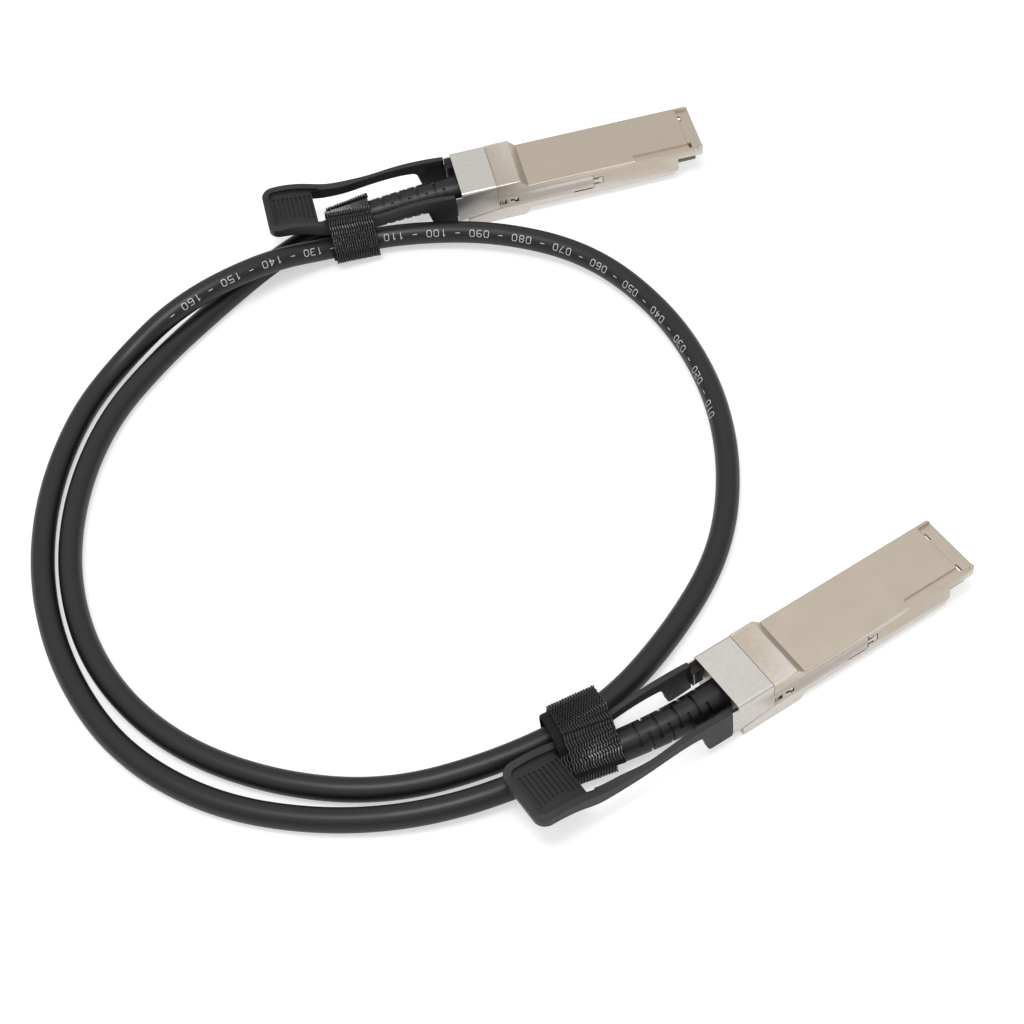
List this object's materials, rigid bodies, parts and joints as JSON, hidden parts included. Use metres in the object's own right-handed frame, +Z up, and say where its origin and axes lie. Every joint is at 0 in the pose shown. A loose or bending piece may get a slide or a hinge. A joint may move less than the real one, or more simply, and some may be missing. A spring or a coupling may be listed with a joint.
{
  "type": "direct attach copper cable",
  "caption": "Passive direct attach copper cable with two pluggable metal plugs, pull-tab latch releases, round black cable coiled in a loop and hook-and-loop straps.",
  "frame": {"origin": "on the table, under the middle of the two plugs' outline", "axes": "+X along plug A towards its mating end, +Y from plug B to plug A across the loop, +Z up"},
  "size_m": [0.2317, 0.2272, 0.0155],
  "materials": {
    "plated_casting": "satin, nickel over a zinc casting",
    "steel_screw": "satin",
    "stainless_sheet": "smooth satin",
    "black_elastomer": "matte with a slight sheen",
    "spring_wire": "bright drawn wire",
    "circuit_board": "satin solder mask",
    "gold_plate": "gold plating",
    "chip_package": "moulded",
    "wire_insulation": "thin film wrap",
    "potting": "moulded",
    "ferrule_metal": "tinned",
    "boot_rubber": "matte",
    "cable_pvc": "satin",
    "hook_loop": "woven hook-and-loop"
  },
  "bodies": {
    "assembly_body": {"upper_shell_a": "plated_casting", "upper_shell_b": "plated_casting", "lower_shell_a": "plated_casting", "lower_shell_b": "plated_casting", "shell_screws_a": "steel_screw", "shell_screws_b": "steel_screw", "return_springs_a": "spring_wire", "return_springs_b": "spring_wire", "paddle_card_a": "circuit_board", "paddle_card_b": "circuit_board", "contact_pads_a": "gold_plate", "contact_pads_b": "gold_plate", "memory_chip_a": "chip_package", "memory_chip_b": "chip_package", "twinax_pairs_a": "wire_insulation", "twinax_pairs_b": "wire_insulation", "wire_potting_a": "potting", "wire_potting_b": "potting", "crimp_ferrule_a": "ferrule_metal", "crimp_ferrule_b": "ferrule_metal", "strain_relief_boot_a": "boot_rubber", "strain_relief_boot_b": "boot_rubber", "cable_jacket": "cable_pvc", "strap_a": "hook_loop", "strap_b": "hook_loop"},
    "release_a": {"latch_slider_a": "stainless_sheet", "pull_tab_a": "black_elastomer"},
    "release_b": {"latch_slider_b": "stainless_sheet", "pull_tab_b": "black_elastomer"}
  },
  "joints": [
    {"name": "release_slide_a", "type": "slide", "parent": "assembly_body", "child": "release_a", "axis": [-1, 0, 0], "range_m": [0, 0.0018], "stiffness_N_per_m": 600, "springref_m": -0.002, "deforming": ["return_springs_a"]},
    {"name": "release_slide_b", "type": "slide", "parent": "assembly_body", "child": "release_b", "axis": [-0.9397, -0.342, 0], "range_m": [0, 0.0018], "stiffness_N_per_m": 600, "springref_m": -0.002, "deforming": ["return_springs_b"]}
  ]
}
